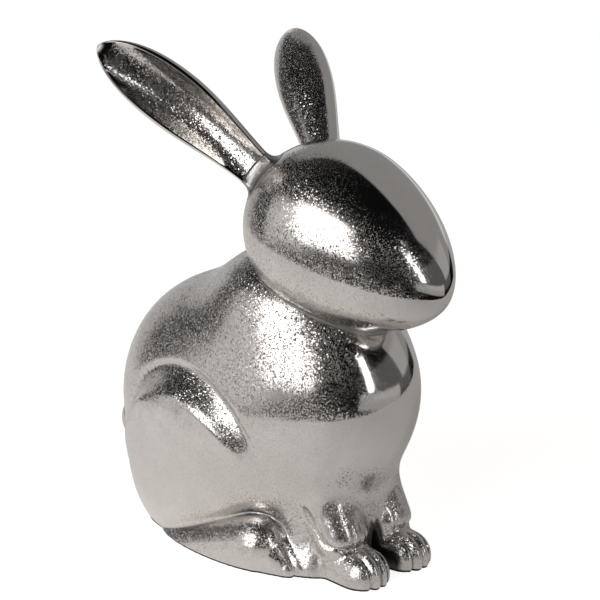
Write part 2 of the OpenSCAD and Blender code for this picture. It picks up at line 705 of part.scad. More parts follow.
module egg_solid(wall) {
    outline = [for (i = [0 : head_steps])
        let(a = 180 * i / head_steps, c = cos(a), n = c > 0 ? 2 : nose_round)
        let(r = (head_r - wall) * pow(max(sin(a), 0), 2 / n))
        [r, c > 0 ? -(head_rear - wall) * c : (head_front - wall) * pow(-c, 2 / n)]];
    translate(head_c) rotate([90 + head_pitch, 0, 0]) rotate_extrude($fn = 96) polygon(outline);
}

module body_shell() {
    angles = [for (j = [0 : side_cols]) col_angle(j)];
    creases = [for (a = angles) neck_rise(a, 0)];
    low = [for (i = [0 : low_rows - 1]) skin_ring(mix(felt_t, fan_z, pow(i / low_rows, low_crowd)))];
    fan = [for (i = [0 : fan_rows]) fan_ring(creases, i / fan_rows)];
    seat = [for (i = [1 : seat_rows]) seat_ring(creases, i / seat_rows)];
    hollow_fan = [for (i = [hollow_fan_rows : -1 : 0]) hollow_ring(fan_z, fan_top * i / hollow_fan_rows)];
    hollow_low = [for (i = [hollow_low_rows - 1 : -1 : 0])
        hollow_ring(mix(floor_z, fan_z, i / hollow_low_rows), 0)];
    mouth = [for (z = [floor_z, felt_t]) round_ring(z, opening_d / 2)];
    color(plated) difference() {
        closed_loop(concat(low, fan, seat, hollow_fan, hollow_low, mouth));
        translate([0, axis_y, fan_z]) cylinder(d = spigot_d + 2 * fit_gap, h = head_z - fan_z, $fn = 48);
        translate([0, axis_y, felt_t - over])
            cylinder(d = plate_d + 2 * plate_gap, h = plate_t + over, $fn = 96);
        on_screws() screw_form(screw_gap);
        tail_form(fit_gap);
    }
}

module tail() {
    color(plated) tail_form(0);
}

module head_shell() {
    spigot_l = head_z - spigot_low;
    color(plated) difference() {
        union() {
            egg_solid(0);
            translate([0, axis_y, spigot_low]) cylinder(d = spigot_d, h = spigot_l, $fn = 48);
        }
        egg_solid(head_wall);
        translate([0, axis_y, spigot_low - over])
            cylinder(d = spigot_d - 2 * spigot_wall, h = spigot_l, $fn = 48);
        on_ear_roots() translate([0, 0, -tenon_l - over])
            cylinder(d = tenon_d + 2 * fit_gap, h = tenon_l + tenon_root + over, $fn = 32);
    }
}

module ear(side) {
    foot = sided(ear_axis(side, ear_foot(side)), side);
    sole = [for (part = [1 / 3, 2 / 3]) ear_sole_ring(side, part)];
    root = [for (k = [0 : ear_weld_steps - 1]) ear_low_ring(side, max(fit_gap, ear_weld * k / ear_weld_steps))];
    blade = [for (i = [0 : ear_rows - 1]) ear_ring(side, i / ear_rows)];
    color(plated) union() {
        capped_loft(concat(sole, root, blade), foot, sided(ear_tip(side), side));
        along(sided(ear_peg(side), side), sided(ear_dir(side, 0), side)) translate([0, 0, -tenon_l])
            cylinder(d = tenon_d, h = tenon_l + tenon_root, $fn = 32);
    }
}

module left_ear() {
    ear(1);
}

module right_ear() {
    ear(-1);
}

module neck_weld_ring() {
    angles = [for (j = [0 : side_cols]) col_angle(j)];
    low = [for (room = [weld_gap, neck_weld]) mirrored([for (a = angles) weld_on_body(a, room)])];
    high = [for (room = [neck_weld, weld_gap]) mirrored([for (a = angles) weld_on_head(a, room)])];
    color(bead) closed_loop([high[1], low[0], low[1], high[0]]);
}

module left_ear_weld() {
    color(bead) closed_loop(ear_weld_rings(1));
}

module right_ear_weld() {
    color(bead) closed_loop(ear_weld_rings(-1));
}

module base_plate() {
    color("dimgray") difference() {
        translate([0, axis_y, felt_t]) cylinder(d = plate_d, h = plate_t, $fn = 96);
        on_screws() screw_form(screw_gap);
    }
}

module base_screws() {
    color("silver") on_screws() screw_form(0);
}

module felt_pad() {
    edge = [for (p = skin_ring(felt_t))
        let(d = [p.x, p.y - axis_y]) [0, axis_y] + d * (1 - felt_inset / norm(d))];
    color(felt_black) linear_extrude(felt_t) polygon(edge);
}

body_shell();
head_shell();
left_ear();
right_ear();
tail();
neck_weld_ring();
left_ear_weld();
right_ear_weld();
base_plate();
base_screws();
felt_pad();
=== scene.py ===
import json

import bpy
import numpy as np
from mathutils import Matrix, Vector

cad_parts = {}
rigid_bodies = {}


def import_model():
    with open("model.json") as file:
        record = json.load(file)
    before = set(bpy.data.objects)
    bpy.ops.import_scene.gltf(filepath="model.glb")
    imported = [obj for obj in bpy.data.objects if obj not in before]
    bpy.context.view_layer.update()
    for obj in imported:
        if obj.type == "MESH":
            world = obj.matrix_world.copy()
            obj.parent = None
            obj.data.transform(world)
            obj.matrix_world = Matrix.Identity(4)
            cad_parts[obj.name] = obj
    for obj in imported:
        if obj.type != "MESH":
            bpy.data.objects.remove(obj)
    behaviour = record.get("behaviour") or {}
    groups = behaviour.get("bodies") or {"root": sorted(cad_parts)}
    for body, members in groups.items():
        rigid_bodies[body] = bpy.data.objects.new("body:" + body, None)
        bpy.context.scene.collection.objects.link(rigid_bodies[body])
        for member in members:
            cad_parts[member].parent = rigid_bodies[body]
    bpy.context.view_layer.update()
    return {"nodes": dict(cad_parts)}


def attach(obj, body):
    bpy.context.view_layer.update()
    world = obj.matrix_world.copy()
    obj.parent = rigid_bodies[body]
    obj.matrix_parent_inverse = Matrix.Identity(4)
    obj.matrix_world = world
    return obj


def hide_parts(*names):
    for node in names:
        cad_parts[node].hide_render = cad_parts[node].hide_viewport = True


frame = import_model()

mm = 0.001  # the shapes below are worked out in millimetres
view = {
    "azimuth": -45.5, "elevation": 16.0,  # degrees from the rabbit's front, less than 0 on its right
    "aim": (0, 0, 0.110), "distance": 0.760, "sensor": 36,
    "pixels": 600, "pixelsPerMetre": 2300, "shiftPixels": 10,  # picture's width, scale at the aim, shift
}
viewTurn, viewRise = np.radians(view["azimuth"]), np.radians(view["elevation"])


# Small maths that every shape uses

def smoothStep(a, b, x):
    # 0 at a, 1 at b, level at both ends
    t = np.clip((x - a) / (b - a), 0, 1)
    return t * t * (3 - 2 * t)


def mix(a, b, t):
    # a share t of the way from a to b
    return a + (b - a) * t


def unit(v):
    # the same ways, each of length 1
    return v / np.maximum(np.linalg.norm(v, axis=-1, keepdims=True), 1e-9)


def softUnion(a, b, k):
    # smaller of two distances, rounded over where they differ by less than k
    h = np.maximum(k - np.abs(a - b), 0) / k
    return np.minimum(a, b) - h ** 3 * k / 6


def ellipsoid(p, centre, size):
    # distance to an ellipsoid of full size about centre, good near its surface
    q = (p - np.array(centre)) * 2 / np.array(size)
    k = np.linalg.norm(q, axis=-1)
    return k * (k - 1) / np.maximum(np.linalg.norm(q * 2 / np.array(size), axis=-1), 1e-6)


def limb(p, a, b, ra, rb):
    # distance to a straight limb from a to b, round in section, whose radius goes from ra to rb
    a, b = np.array(a, float), np.array(b, float)
    t = np.clip((p - a) @ (b - a) / ((b - a) @ (b - a)), 0, 1)
    return np.linalg.norm(p - a - t[..., None] * (b - a), axis=-1) - mix(ra, rb, t)


def slope(field, p, step=0.02):
    # the way that a distance field rises, from differences along the three axes
    moves = np.eye(3) * step
    return unit(np.stack([field(p + m) - field(p - m) for m in moves], -1))


# Meshes

def ringSurface(name, rings, startPole=None, endPole=None, loop=False, marks=None):
    # rings of points, each ring closed on itself, joined one to the next; a pole closes an end with a fan,
    # or the last ring joins the first; marks are named values per point, and poles take the last ring's mean
    rows, cols = rings.shape[:2]
    points = rings.reshape(-1, 3)
    at = np.arange(rows * cols).reshape(rows, cols)
    below, above = (at, np.roll(at, -1, 0)) if loop else (at[:-1], at[1:])
    quads = np.stack([below, np.roll(below, -1, 1), np.roll(above, -1, 1), above], -1).reshape(-1, 4)
    fans = []
    for pole, ring, turn in ((startPole, at[0], 1), (endPole, at[-1], -1)):
        if pole is not None:
            tip = np.full(cols, len(points))
            points = np.concatenate([points, np.array(pole, float)[None]])
            fans.append(np.stack([tip, np.roll(ring, -1), ring][::turn], -1))
    tris = np.concatenate(fans) if fans else np.zeros((0, 3), int)
    halves = np.concatenate([quads[:, :3], quads[:, [0, 2, 3]], tris])
    corners = points[halves]
    if np.einsum("ij,ij->", corners[:, 0], np.cross(corners[:, 1], corners[:, 2])) < 0:
        quads, tris = quads[:, ::-1], tris[:, ::-1]  # turned so that faces point outwards
    mesh = bpy.data.meshes.new(name)
    mesh.vertices.add(len(points))
    mesh.vertices.foreach_set("co", (points * mm).ravel())
    loops = np.concatenate([quads.ravel(), tris.ravel()])
    starts = np.concatenate([np.arange(len(quads)) * 4, len(quads) * 4 + np.arange(len(tris)) * 3])
    mesh.loops.add(len(loops))
    mesh.loops.foreach_set("vertex_index", loops.astype(np.int32))
    mesh.polygons.add(len(starts))
    mesh.polygons.foreach_set("loop_start", starts.astype(np.int32))
    mesh.update(calc_edges=True)
    mesh.polygons.foreach_set("use_smooth", np.ones(len(starts), bool))
    for mark, values in (marks or {}).items():
        layer = mesh.attributes.new(mark, "FLOAT", "POINT")
        values = np.asarray(values, float).ravel()
        padded = np.concatenate([values, np.full(len(points) - len(values), values[-cols:].mean())])
        layer.data.foreach_set("value", padded.astype(np.float32))
    piece = bpy.data.objects.new(name, mesh)
    bpy.context.scene.collection.objects.link(piece)
    return piece


def mirroredColumns(half):
    # the right half of each ring is the left half, turned over in x
    other = half[:, -2:0:-1]
    return np.concatenate([half, other * (np.array([-1, 1, 1]) if half.ndim == 3 else 1)], 1)


def evenMarks(rings, grain, paintedShade):
    # the same grain and the same painted shade at every point
    return {"grain": np.full(rings.shape[:2], grain), "paintedShade": np.full(rings.shape[:2], paintedShade)}


# Body: hips, chest, neck, haunches, belly, feet and legs run into one another

bodyShape = {
    "hip": ((0, 24, 55), (93, 142, 127)),  # middle and full size, as for the next six
    "chest": ((0, -20, 80), (68, 87, 80)),
    "neck": ((0, -6, 110), (68, 72, 54)),
    "haunch": ((23, 35, 27), (38, 86, 78)),
    "belly": ((0, -26, 6), (57, 52, 92)),
    "skirt": ((0, -30, 0), (62, 40, 36)),
    "cleft": ((0, -62, 4), (6.4, 40, 34)),  # cut between the paws
    "blends": {"chest": 50, "neck": 26, "haunch": 10, "belly": 12, "skirt": 10,
               "paw": 3, "foot": 2.5, "cleft": 1.2},
    "legBlend": (2, 14),  # at the foot of the leg and at its top
    "legHeights": (12, 52),  # free below the first, one with the trunk above the second
    "thigh": (22, 35, 88, 94, 6.4, 0.8),  # middle y and z, length, height, rise, and share where it is full
    "calf": (30, 38, 72, 80, 0.9, 0.72),
    "groove": (1.4, 1.04, 0.045),  # depth, place on the oval and half width
    "instep": (22, -6, 0.42, 64),  # the thigh ends over the foot: height, at y, fall to the heel and fade
    "undercut": (1, 4.0, 40, 20),  # depth over the foot, half height, and where it fades to the heel
    "undercutEdge": (1.05, 0.9),  # shares of the thigh's oval between which it comes in
    "grooveFade": (75, 45),  # gone behind the first y, full before the second
    "reliefSide": (15, 34),  # starts at the first x, full at the second
    "heel": (30, 38, -9, 14.0),  # middle and radius, as for the next two
    "ball": (31, -13, 10, 14.0),
    "hindTip": (28, -27, 2, 8.5),
    "hindSlot": {
        "middle": 29, "step": 5.4, "gather": 0.8, "cuts": (-0.5, 0.5),
        "back": -18, "front": -27, "depth": 1.3, "half": 1.0,
    },
    "shoulder": (15, -20, 60, 12.5),  # middle and radius, as for the wrist
    "wrist": (14, -44, 17, 12.0),
    "paw": ((13.5, -44, 5), (13.5, -57, 3.5), 11.2),  # heel and ball of the paw, and its radius
    "slot": {
        "middle": 13.5, "step": 4.8, "gather": 0.7, "cuts": (-1, 0, 1),
        "back": -51, "front": -60, "depth": 1.5, "half": 0.9,
    },
    "fold": {  # round the back and foot of the front leg
        "line": [(20, -26, 52), (26, -36, 28), (25, -45, 17), (20, -53, 15), (13, -57, 15.5), (5, -55, 16)],
        "depth": 1.5, "half": 1.8,
    },
    "axisY": -8, "fanZ": 56, "floor": 1.0,  # rays leave this axis, level up to fanZ and fanned out above
    "sideCols": 180, "lowRows": 140, "fanRows": 110, "seatRows": 12,
    "frontCrowd": 0.489, "lowCrowd": 1.3,  # columns crowd to the front, rows to the foot
    "seatGap": 0.1,  # the seat lies this far under the head
}


def trunkField(p):
    # hip, chest, neck and haunch ellipsoids, run into one another
    s, k = bodyShape, bodyShape["blends"]
    d = softUnion(ellipsoid(p, *s["hip"]), ellipsoid(p, *s["chest"]), k["chest"])
    d = softUnion(d, ellipsoid(p, *s["neck"]), k["neck"])
    return softUnion(d, ellipsoid(p, *s["haunch"]), k["haunch"])


def overInstep(p):
    # height over the line where the thigh ends above the foot, which falls towards the heel
    high, front, fall, _ = bodyShape["instep"]
    return p[..., 2] - high + fall * np.maximum(p[..., 1] - front, 0)


def reliefHeight(p):
    # raised thigh and calf ovals on the flank, less the groove round the thigh and the crease over the foot
    s = bodyShape
    y, z, length, height, rise, full = s["thigh"]
    oval = np.hypot((p[..., 1] - y) * 2 / length, (p[..., 2] - z) * 2 / height)
    cy, cz, calfLength, calfHeight, calfRise, calfFull = s["calf"]
    calf = np.hypot((p[..., 1] - cy) * 2 / calfLength, (p[..., 2] - cz) * 2 / calfHeight)
    depth, place, half = s["groove"]
    groove = np.exp(-((oval - place) / half) ** 2) * smoothStep(*s["grooveFade"], p[..., 1])
    over, fade = overInstep(p), s["instep"][3]
    raised = rise * smoothStep(1, full, oval) + calfRise * smoothStep(1, calfFull, calf)
    cut, tall, heel, sole = s["undercut"]
    under = cut * np.exp(-(over / tall) ** 2) * smoothStep(heel, sole, p[..., 1])
    under = under * smoothStep(*s["undercutEdge"], oval)
    side = smoothStep(*s["reliefSide"], p[..., 0])
    return side * (smoothStep(0, fade, over) * (raised - depth * groove) - under)


def engraved(p, line, half):
    # 1 on a line of straight stretches, fading away from it
    away = [limb(p, *ends, 0, 0) for ends in zip(line, line[1:])]
    return np.exp(-(np.minimum.reduce(away) / half) ** 2)


def slotDepth(p, slot):
    # grooves between toes: lines that spread forwards over the foot, from nothing behind the knuckles
    front = smoothStep(slot["back"], slot["front"], p[..., 1])
    apart = slot["step"] * mix(slot["gather"], 1, front)
    away = [np.abs(p[..., 0] - slot["middle"] - k * apart) for k in slot["cuts"]]
    return slot["depth"] * front * np.exp(-(np.minimum.reduce(away) / slot["half"]) ** 2)


def footField(p):
    # a wedge from heel to ball, which bends down to the toes
    s = bodyShape
    heel, ball, tip = s["heel"], s["ball"], s["hindTip"]
    back = limb(p, heel[:3], ball[:3], heel[3], ball[3])
    front = limb(p, ball[:3], tip[:3], ball[3], tip[3])
    return np.minimum(back, front) + slotDepth(p, s["hindSlot"])


def legField(p):
    # shoulder to wrist and a paw
    s = bodyShape
    back, front, r = s["paw"]
    d = limb(p, s["shoulder"][:3], s["wrist"][:3], s["shoulder"][3], s["wrist"][3])
    return softUnion(d, limb(p, back, front, r, r), s["blends"]["paw"]) + slotDepth(p, s["slot"])


def bodyField(q):
    # distance to the body's skin; the body is the same on both sides
    s, k = bodyShape, bodyShape["blends"]
    p = np.array(q, float)
    p[..., 0] = np.abs(p[..., 0])
    d = softUnion(trunkField(p) - reliefHeight(p), ellipsoid(p, *s["belly"]), k["belly"])
    d = softUnion(d, ellipsoid(p, *s["skirt"]), k["skirt"])
    d = softUnion(d, footField(p), k["foot"])
    d = softUnion(d, legField(p), mix(*s["legBlend"], smoothStep(*s["legHeights"], p[..., 2])))
    d = -softUnion(-d, ellipsoid(p, *s["cleft"]), k["cleft"])
    return d + s["fold"]["depth"] * engraved(p, s["fold"]["line"], s["fold"]["half"])


# Head: an egg, pointed a little at the nose

headShape = {
    "length": 103.5, "width": 75.5, "back": 0.4, "nose": 1.7, "centre": (0, -27.5, 145.5), "pitch": 18.5,
    "rows": 200, "cols": 200,
}
headCentre = np.array(headShape["centre"])
headR = headShape["width"] / 2
headRear = headShape["length"] * headShape["back"]
headFront = headShape["length"] - headRear
headTilt = np.radians(headShape["pitch"])
noseWay = np.array([0, -np.cos(headTilt), -np.sin(headTilt)])
crownWay = np.array([0, -np.sin(headTilt), np.cos(headTilt)])


def headField(p):
    # distance to the egg, turned round its axis: an ellipse behind the widest ring, more pointed before it
    d = p - headCentre
    f = d @ noseWay
    r = np.maximum(np.linalg.norm(d - f[..., None] * noseWay, axis=-1), 0.01)
    n = np.where(f > 0, headShape["nose"], 2.0)
    a = np.where(f > 0, headFront, headRear)
    u, v = np.maximum(np.abs(f) / a, 1e-4), r / headR
    k = (u ** n + v ** n) ** (1 / n)
    return (k - 1) * k ** (n - 1) / np.hypot(u ** (n - 1) / a, v ** (n - 1) / headR)


def headSurface():
    # half a turn from the back of the head to the nose, carried once round the head's axis
    a = np.linspace(0, np.pi, headShape["rows"] + 2)[1:-1]
    n = np.where(a < np.pi / 2, 2.0, headShape["nose"])
    r = headR * np.sin(a) ** (2 / n)
    f = np.where(a < np.pi / 2, -headRear * np.cos(a), headFront * np.abs(np.cos(a)) ** (2 / n))
    turn = np.linspace(0, 2 * np.pi, headShape["cols"], endpoint=False)
    side = np.cos(turn)[:, None] * np.array([1.0, 0, 0]) + np.sin(turn)[:, None] * crownWay
    return headCentre + f[:, None, None] * noseWay + r[:, None, None] * side


# Rays from the body's upright axis find its skin and the head's seat

rays = {
    "reach": 134, "stride": 0.75,  # where they start outside, and the share of the distance in each step
    "skinSteps": 56, "headSteps": 60,
    "inside": 1.0, "outside": 0.3, "halvings": 12,  # the stretch about the skin that is halved
    "neckRises": (5, 82), "neckHalvings": 16,  # degrees
}


def rayWays(angle, rise):
    # angle 0 is the rabbit's front, rise is the elevation
    flat = np.cos(rise)
    return np.stack([flat * np.sin(angle), -flat * np.cos(angle), np.sin(rise) + 0 * angle], -1)


def skinReach(start, way):
    # from outside, a share of the distance at a time, then halved to the skin
    t = np.full(way.shape[:-1], float(rays["reach"]))
    for _ in range(rays["skinSteps"]):
        t = t - rays["stride"] * np.maximum(bodyField(start + t[..., None] * way), 0)
    low, high = t - rays["inside"], t + rays["outside"]
    for _ in range(rays["halvings"]):
        middle = (low + high) / 2
        inside = bodyField(start + middle[..., None] * way) < 0
        low, high = np.where(inside, middle, low), np.where(inside, high, middle)
    return (low + high) / 2


def headReach(start, way, gap=0.0):
    # from inside the body up to the head, or the full reach where the ray misses
    t = np.zeros(way.shape[:-1])
    for _ in range(rays["headSteps"]):
        room = np.maximum(headField(start + t[..., None] * way) - gap, 0)
        t = np.minimum(t + rays["stride"] * room, rays["reach"])
    return t


def columnAngles():
    # even angles from front to back, less a share of their sine, so that they crowd to the front
    u = np.linspace(0, np.pi, bodyShape["sideCols"] + 1)
    return u - bodyShape["frontCrowd"] * np.sin(u)


fanStart = np.array([0, bodyShape["axisY"], bodyShape["fanZ"]], float)


def neckRise(angles, room):
    # elevation at which head and body are the given way apart, halved column by column
    low, high = (np.full(angles.shape, np.radians(end)) for end in rays["neckRises"])
    for _ in range(rays["neckHalvings"]):
        rise = (low + high) / 2
        way = rayWays(angles, rise)
        apart = headReach(fanStart, way) - skinReach(fanStart, way) > room
        low, high = np.where(apart, rise, low), np.where(apart, high, rise)
    return (low + high) / 2


def bodySurface():
    # level rays below fanZ, then a fan that rises to the neck's crease and over the head's seat
    s, angles = bodyShape, columnAngles()
    crease = neckRise(angles, 0.0)
    low = mix(s["floor"], s["fanZ"], (np.arange(s["lowRows"]) / s["lowRows"]) ** s["lowCrowd"])
    lowStart = np.stack([0 * low, 0 * low + s["axisY"], low], -1)[:, None]
    lowWay = np.broadcast_to(rayWays(angles, 0 * angles), (s["lowRows"], len(angles), 3))
    lowStart = np.broadcast_to(lowStart, lowWay.shape)
    part = np.linspace(0, 1, s["fanRows"])[:, None]
    fanWay = rayWays(angles + 0 * part, crease * part)
    start = np.concatenate([lowStart, np.broadcast_to(fanStart, fanWay.shape)])
    way = np.concatenate([lowWay, fanWay])
    skin = start + skinReach(start, way)[..., None] * way
    seatPart = np.linspace(0, 1, s["seatRows"] + 2)[1:-1, None]
    seatWay = rayWays(angles + 0 * seatPart, mix(crease, np.pi / 2, seatPart))
    seat = fanStart + headReach(fanStart, seatWay, s["seatGap"])[..., None] * seatWay
    return skin, seat


# Ears: a curved path, a width that swells and closes at the tip, a rounded back and a dished front

earShape = {
    "root": (17.5, 22.5, 20.5), "tip": (57, 84, 73), "skew": 2, "bow": 3,  # from the head's centre
    "width": 26, "back": 9, "rim": 2.4, "hollow": 8.5,
    "faces": {1: (0.77, 0.08, -0.64), -1: (0.79, -0.60, 0.11)},  # the left ear is turned further back
    "widest": 0.56, "rootShare": 0.6, "rimShare": 0.15,
    "closing": (2.3, 0.625),  # powers of the width's fall to the tip
    "backEnds": 0.85, "backClosing": (6, 0.7), "backRound": 0.8,  # share at the ends, and powers
    "rimEnds": (1.5, 0.8), "rimClosing": 8,  # shares at the root and the tip, and a power
    "hollowEnds": 1.5, "hollowFlat": 2.4,  # powers along the ear and across it
    "rows": 150, "cols": 144, "tipCrowd": 1.5,
}


def earPath(side, t):
    # points, ways and fronts along the ear, worked out on the left
    s = earShape
    root = headCentre + np.array(s["root"])
    tip = headCentre + np.array(s["tip"]) - np.array([0, 0, side * s["skew"]])
    bend = (root + tip) / 2 + np.array([0, 0, 2 * s["bow"]])
    t = np.asarray(t, float)[..., None]
    at = (1 - t) ** 2 * root + 2 * t * (1 - t) * bend + t ** 2 * tip
    way = unit((1 - t) * (bend - root) + t * (tip - bend))
    face = np.array(s["faces"][side])
    front = unit(face - (way @ face)[..., None] * way)
    return at, way, front


def earPoints(side, t, a):
    # section at the angle a: half width times cos a across; below, the rounded back; above, rim and hollow
    s = earShape
    at, way, front = earPath(side, t)
    swell = mix(s["rootShare"], 1, (1 - np.cos(np.pi * t / s["widest"])) / 2)
    past = np.maximum(t - s["widest"], 0) / (1 - s["widest"])
    fall, soften = s["closing"]
    close = np.maximum(1 - past ** fall, 0) ** soften
    half = s["width"] / 2 * np.where(t < s["widest"], swell, close)
    fall, soften = s["backClosing"]
    depth = s["back"] * mix(s["backEnds"], 1, np.sin(np.pi * t)) * (1 - t ** fall) ** soften
    lip = s["rim"] * mix(*s["rimEnds"], t) * np.sqrt(1 - t ** s["rimClosing"])
    dish = s["hollow"] * (4 * t * (1 - t)) ** s["hollowEnds"]
    q, inside = np.abs(np.cos(a)), 1 - s["rimShare"]
    edge = np.sqrt(np.clip(1 - (np.maximum(q - inside, 0) / s["rimShare"]) ** 2, 0, 1))
    bowl = np.where(q < inside, 1 - (q / inside) ** s["hollowFlat"], 0)
    rounded = -depth * np.abs(np.sin(a)) ** s["backRound"]
    level = np.where(np.sin(a) < 0, rounded, lip * edge - dish * bowl)
    across = np.cross(front, way)
    return at + (half * np.cos(a))[..., None] * across + level[..., None] * front


def sided(points, side):
    # the left ear's points as they are, the right ear's turned over in x
    return points * np.array([side, 1, 1])


# Shader maths

class Wire:
    # a socket of a node tree: arithmetic on it adds Math nodes, and make() adds any other node
    def __init__(self, tree, socket=None):
        self.tree, self.socket = tree, socket

    def make(self, kind, settings=None, sockets=None, out=0):
        node = self.tree.nodes.new(kind)
        for key, value in (settings or {}).items():
            setattr(node, key, value)
        for key, value in (sockets or {}).items():
            if isinstance(value, Wire):
                self.tree.links.new(value.socket, node.inputs[key])
            else:
                node.inputs[key].default_value = value
        return Wire(self.tree, node.outputs[out])

    def at(self, socket):
        # a wire from another socket of the same tree
        return Wire(self.tree, socket)

    def math(self, operation, *terms):
        return self.make("ShaderNodeMath", {"operation": operation}, dict(enumerate(terms)))

    def vector(self, operation, other, out=0):
        return self.make("ShaderNodeVectorMath", {"operation": operation}, {0: self, 1: other}, out)

    def dot(self, other):
        return self.vector("DOT_PRODUCT", other, 1)

    def __add__(self, other):
        return self.math("ADD", self, other)

    def __sub__(self, other):
        return self.math("SUBTRACT", self, other)

    def __rsub__(self, other):
        return self.math("SUBTRACT", other, self)

    def __mul__(self, other):
        return self.math("MULTIPLY", self, other)

    def __truediv__(self, other):
        return self.math("DIVIDE", self, other)

    __radd__, __rmul__ = __add__, __mul__

    def between(self, low, high):
        # 0 below low, 1 above high, smooth between
        span = {"Value": self, "From Min": low, "From Max": high}
        return self.make("ShaderNodeMapRange", {"interpolation_type": "SMOOTHSTEP"}, span)

    def tint(self, first, second):
        # from the first colour to the second as this goes from 0 to 1
        ends = {0: self, 6: (*first, 1), 7: (*second, 1)}
        return self.make("ShaderNodeMix", {"data_type": "RGBA"}, ends, 2)


def newMaterial(name):
    # a material with one shader on its output, and a wire that adds nodes to it
    material = bpy.data.materials.new(name)
    material.use_nodes = True
    tree = material.node_tree
    tree.nodes.clear()
    shader = tree.nodes.new("ShaderNodeBsdfPrincipled")
    output = tree.nodes.new("ShaderNodeOutputMaterial")
    tree.links.new(shader.outputs[0], output.inputs[0])
    return material, shader, Wire(tree)


def join(wire, socket):
    # the wire's value feeds the socket
    wire.tree.links.new(wire.socket, socket)


platedLook = {
    "bright": (0.80, 0.765, 0.735), "worn": (0.70, 0.665, 0.635), "shadeColour": (0.05, 0.048, 0.046),
    "grainSize": 0.00042, "grainTilt": 1.0,  # how wide the grain's facets are, and how far they lean
    "patchSize": 0.014, "patchSpan": (0.1, 0.5),  # patches in which the grain comes and goes
    "waveSize": 0.012, "waveDepth": 0.00006,  # the skin of a casting is never quite even
    # painted shade: a dark tint where the shade mark lies, and dark specks painted on the steepest grain
    # facets in place of their dark reflections
    "shadeSpan": (0.35, 0.95), "shadeShare": 0.9, "grainSpeckShade": 0.2,
    "smoothRough": 0.06, "grainRough": 0.05, "shadeMarkRough": 0.2, "shadeMarkRoughSpan": (0.4, 1.0),
    "hazeRough": 0.277, "haze": 0.27,  # a duller share of the shine, on the grain alone
}
beadLook = {**platedLook, "bright": (0.55, 0.53, 0.51), "smoothRough": 0.22}


def platedMaterial(name, look):
    # mirror-bright plating over a sand casting: each small cell of the grain is a facet that leans at
    # random, its height the distance from its middle along its lean; polished places have no grain
    material, shader, w = newMaterial(name)
    place = w.make("ShaderNodeTexCoord", out=3)
    grain = w.make("ShaderNodeAttribute", {"attribute_name": "grain"}, out=2)
    paintedShade = w.make("ShaderNodeAttribute", {"attribute_name": "paintedShade"}, out=2)
    cells = {"Vector": place, "Scale": 1 / look["grainSize"]}
    lean, middle = (w.make("ShaderNodeTexVoronoi", None, cells, out=k) for k in (1, 2))
    offset = place.vector("SUBTRACT", middle)
    tilt = lean.vector("SUBTRACT", (0.5, 0.5, 0.5))  # as often one way as the other
    chance = lean.dot((0, 0, 1))
    strength = chance * chance  # most facets lean a little, a few a lot
    facet = offset.dot(tilt) * strength
    patch = w.make("ShaderNodeTexNoise", None, {
        "Vector": place, "Scale": 1 / look["patchSize"], "Detail": 3.0, "Roughness": 0.6})
    wave = w.make("ShaderNodeTexNoise", None, {
        "Vector": place, "Scale": 1 / look["waveSize"], "Detail": 1.0, "Roughness": 0.4})
    amount = grain * patch.between(*look["patchSpan"])
    # painted shade and painted dark reflections: the shade mark and the grain's steepest facets darken the
    # colour
    shadeAmount = paintedShade.between(*look["shadeSpan"]) * look["shadeShare"] + amount * strength * look["grainSpeckShade"]
    plateColour = patch.tint(look["bright"], look["worn"])
    shadedColour = w.make("ShaderNodeMix", {"data_type": "RGBA", "clamp_factor": True}, {
        0: shadeAmount, 6: plateColour, 7: (*look["shadeColour"], 1)}, 2)
    join(shadedColour, shader.inputs["Base Color"])
    shader.inputs["Metallic"].default_value = 1.0
    rough = look["smoothRough"] + amount * look["grainRough"]
    rough = rough + paintedShade.between(*look["shadeMarkRoughSpan"]) * look["shadeMarkRough"]
    join(rough, shader.inputs["Roughness"])
    broad = w.make("ShaderNodeBump", None, {
        "Height": wave, "Strength": 1.0, "Distance": look["waveDepth"]})
    speckled = w.make("ShaderNodeBump", None, {
        "Height": facet * amount, "Strength": 1.0, "Distance": look["grainTilt"], "Normal": broad})
    join(speckled, shader.inputs["Normal"])
    hazy = w.make("ShaderNodeBsdfPrincipled", None, {
        "Base Color": shadedColour, "Metallic": 1.0, "Roughness": look["hazeRough"], "Normal": speckled})
    both = w.make("ShaderNodeMixShader", None, {
        0: amount * look["haze"], 1: w.at(shader.outputs[0]), 2: hazy})
    join(both, w.tree.nodes["Material Output"].inputs[0])
    return material


feltLook = {
    "deep": (0.006, 0.006, 0.006), "raised": (0.03, 0.03, 0.03), "rough": 0.95,
    "fibres": 2200.0, "bump": 0.6, "bumpDepth": 0.0003,
}


def feltMaterial(name, look):
    # fine noise for the fibres, in the colour and in the bump
    material, shader, w = newMaterial(name)
    place = w.make("ShaderNodeTexCoord", out=3)
    fibre = w.make("ShaderNodeTexNoise", None, {
        "Vector": place, "Scale": look["fibres"], "Detail": 4.0, "Roughness": 0.7})
    join(fibre.tint(look["deep"], look["raised"]), shader.inputs["Base Color"])
    shader.inputs["Roughness"].default_value = look["rough"]
    bump = w.make("ShaderNodeBump", None, {
        "Height": fibre, "Strength": look["bump"], "Distance": look["bumpDepth"]})
    join(bump, shader.inputs["Normal"])
    return material


steelLook = {"streaks": 900.0, "darkest": 0.8, "streakRough": 0.15}
plateLook = {**steelLook, "shade": (0.45, 0.45, 0.46), "rough": 0.3, "drawn": (1, 12, 12)}
screwLook = {**steelLook, "shade": (0.6, 0.6, 0.62), "rough": 0.22, "drawn": (6, 6, 1)}


